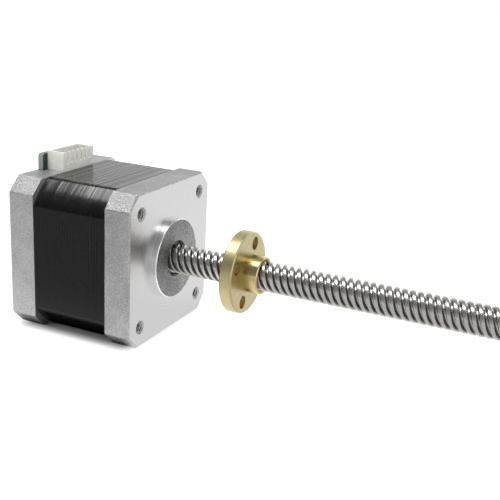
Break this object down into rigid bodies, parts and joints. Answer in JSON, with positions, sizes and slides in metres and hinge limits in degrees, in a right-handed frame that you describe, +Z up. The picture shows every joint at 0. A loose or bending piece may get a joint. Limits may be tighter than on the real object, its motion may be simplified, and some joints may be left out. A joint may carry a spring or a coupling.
{
  "type": "lead screw stepper motor",
  "caption": "Square stepper motor with cast end covers, a lead screw in place of its shaft, a brass flanged nut on the screw and a plug header on the rear cover.",
  "frame": {"origin": "on the shaft axis, in the plane of the front mounting face", "axes": "+X along the shaft towards the screw's tip, +Z up, through the connector's side"},
  "size_m": [0.138, 0.042, 0.0471],
  "materials": {
    "cast_aluminium": "as cast, machined on the front face",
    "black_laminations": "black paint over fine lamination edges",
    "bobbin_plastic": "matte moulded",
    "copper_wire": "enamelled winding",
    "bearing_steel": "ground",
    "shield_steel": "pressed sheet",
    "plated_screws": "zinc plated",
    "green_board": "green solder mask",
    "ivory_nylon": "natural nylon",
    "tinned_pins": "tinned",
    "screw_steel": "rolled bright steel",
    "rotor_iron": "ground teeth",
    "magnet": "sintered",
    "nut_brass": "turned"
  },
  "bodies": {
    "motor": {"front_cover": "cast_aluminium", "rear_cover": "cast_aluminium", "stator_stack": "black_laminations", "front_insulator": "bobbin_plastic", "rear_insulator": "bobbin_plastic", "coils": "copper_wire", "front_bearing_outer": "bearing_steel", "front_bearing_shields": "shield_steel", "rear_bearing_outer": "bearing_steel", "rear_bearing_shields": "shield_steel", "preload_washer": "shield_steel", "tie_screws": "plated_screws", "connector_board": "green_board", "connector_housing": "ivory_nylon", "connector_pins": "tinned_pins"},
    "rotor": {"lead_screw": "screw_steel", "rotor_cup_front": "rotor_iron", "rotor_cup_rear": "rotor_iron", "rotor_magnet": "magnet", "front_bearing_inner": "bearing_steel", "rear_bearing_inner": "bearing_steel", "front_spacer": "bearing_steel", "rear_spacer": "bearing_steel"},
    "nut": {"lead_nut": "nut_brass"}
  },
  "joints": [
    {"name": "screw_spin", "type": "hinge", "parent": "motor", "child": "rotor", "pos_m": [0, 0, 0], "axis": [1, 0, 0], "range_deg": [-3060, 630]},
    {"name": "nut_slide", "type": "slide", "parent": "motor", "child": "nut", "axis": [1, 0, 0], "range_m": [-0.01401, 0.06801]}
  ],
  "couplings": [
    {"joint": "nut_slide", "follows": "screw_spin", "m_per_rad": -0.0012732}
  ]
}
